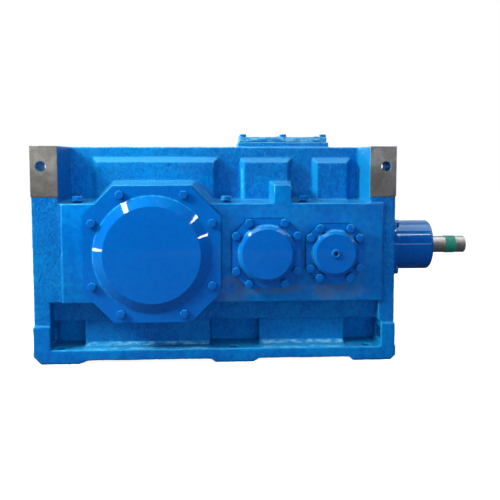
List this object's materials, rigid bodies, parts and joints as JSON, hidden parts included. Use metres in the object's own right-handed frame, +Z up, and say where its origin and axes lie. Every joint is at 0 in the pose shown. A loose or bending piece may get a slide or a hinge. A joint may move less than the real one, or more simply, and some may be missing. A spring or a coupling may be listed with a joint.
{
  "type": "industrial gearbox",
  "caption": "Right-angle bevel-helical gear unit: split cast housing on feet, octagonal bearing covers, round input neck with keyed shaft, keyed output shaft at the rear.",
  "frame": {"origin": "middle of the centre foot's underside, in the middle plane of the housing", "axes": "+X towards the input shaft, +Y to the rear where the output shaft leaves, +Z up"},
  "size_m": [1.381, 0.74, 0.6958],
  "materials": {
    "blue_paint": "glossy blue enamel over cast iron, orange-peel on cast walls",
    "machined_steel": "turned, bare",
    "gear_steel": "ground flanks, oiled",
    "bearing_steel": "ground",
    "seal_rubber": "nitrile lip seal",
    "sight_glass": "clear, metal rimmed",
    "green_tape": "wound adhesive tape"
  },
  "bodies": {
    "housing": {"breather": "machined_steel", "drain_plug": "machined_steel", "first_bearing_front_outer_ring": "bearing_steel", "first_bearing_rear_outer_ring": "bearing_steel", "first_cover_front": "blue_paint", "first_cover_front_bolts": "blue_paint", "first_cover_plug": "blue_paint", "first_cover_rear": "blue_paint", "first_cover_rear_bolts": "blue_paint", "housing_lower": "blue_paint", "housing_upper": "blue_paint", "input_bearing_inner_outer_ring": "bearing_steel", "input_bearing_outer_outer_ring": "bearing_steel", "input_quill": "blue_paint", "input_seal": "seal_rubber", "inspection_cover": "blue_paint", "inspection_cover_bolts": "blue_paint", "middle_bearing_front_outer_ring": "bearing_steel", "middle_bearing_rear_outer_ring": "bearing_steel", "middle_cover_front": "blue_paint", "middle_cover_front_bolts": "blue_paint", "middle_cover_rear": "blue_paint", "middle_cover_rear_bolts": "blue_paint", "oil_sight_glass": "sight_glass", "output_bearing_front_outer_ring": "bearing_steel", "output_bearing_rear_outer_ring": "bearing_steel", "output_cover_front": "blue_paint", "output_cover_front_bolts": "blue_paint", "output_cover_rear": "blue_paint", "output_cover_rear_bolts": "blue_paint", "output_seal": "seal_rubber", "quill_bolt_1": "blue_paint", "quill_bolt_2": "blue_paint", "quill_bolt_3": "blue_paint", "quill_bolt_4": "blue_paint", "split_bolt_front_1": "blue_paint", "split_bolt_front_2": "blue_paint", "split_bolt_front_3": "blue_paint", "split_bolt_rear_1": "blue_paint", "split_bolt_rear_2": "blue_paint", "split_bolt_rear_3": "blue_paint"},
    "input_shaft_group": {"input_shaft": "machined_steel", "shaft_tape": "green_tape", "input_bearing_inner_inner_ring": "bearing_steel", "input_bearing_outer_inner_ring": "bearing_steel"},
    "first_shaft_group": {"first_shaft": "gear_steel", "bevel_gear": "gear_steel", "bevel_gear_key": "machined_steel", "first_bearing_front_inner_ring": "bearing_steel", "first_bearing_rear_inner_ring": "bearing_steel"},
    "middle_shaft_group": {"middle_shaft": "gear_steel", "middle_gear": "gear_steel", "middle_gear_key": "machined_steel", "middle_bearing_front_inner_ring": "bearing_steel", "middle_bearing_rear_inner_ring": "bearing_steel"},
    "output_shaft_group": {"output_shaft": "gear_steel", "output_gear": "gear_steel", "output_gear_key": "machined_steel", "output_bearing_front_inner_ring": "bearing_steel", "output_bearing_rear_inner_ring": "bearing_steel"}
  },
  "joints": [
    {"name": "output_spin", "type": "hinge", "parent": "housing", "child": "output_shaft_group", "pos_m": [-0.243, 0, 0.334], "axis": [0, 1, 0], "continuous": true},
    {"name": "middle_spin", "type": "hinge", "parent": "housing", "child": "middle_shaft_group", "pos_m": [0.097, 0, 0.334], "axis": [0, 1, 0], "continuous": true},
    {"name": "first_spin", "type": "hinge", "parent": "housing", "child": "first_shaft_group", "pos_m": [0.303, 0, 0.334], "axis": [0, 1, 0], "continuous": true},
    {"name": "input_spin", "type": "hinge", "parent": "housing", "child": "input_shaft_group", "pos_m": [0.303, 0, 0.334], "axis": [1, 0, 0], "continuous": true}
  ],
  "couplings": [
    {"joint": "middle_spin", "follows": "output_spin", "ratio": -3.25},
    {"joint": "first_spin", "follows": "output_spin", "ratio": 6.5},
    {"joint": "input_spin", "follows": "output_spin", "ratio": 16.25}
  ]
}
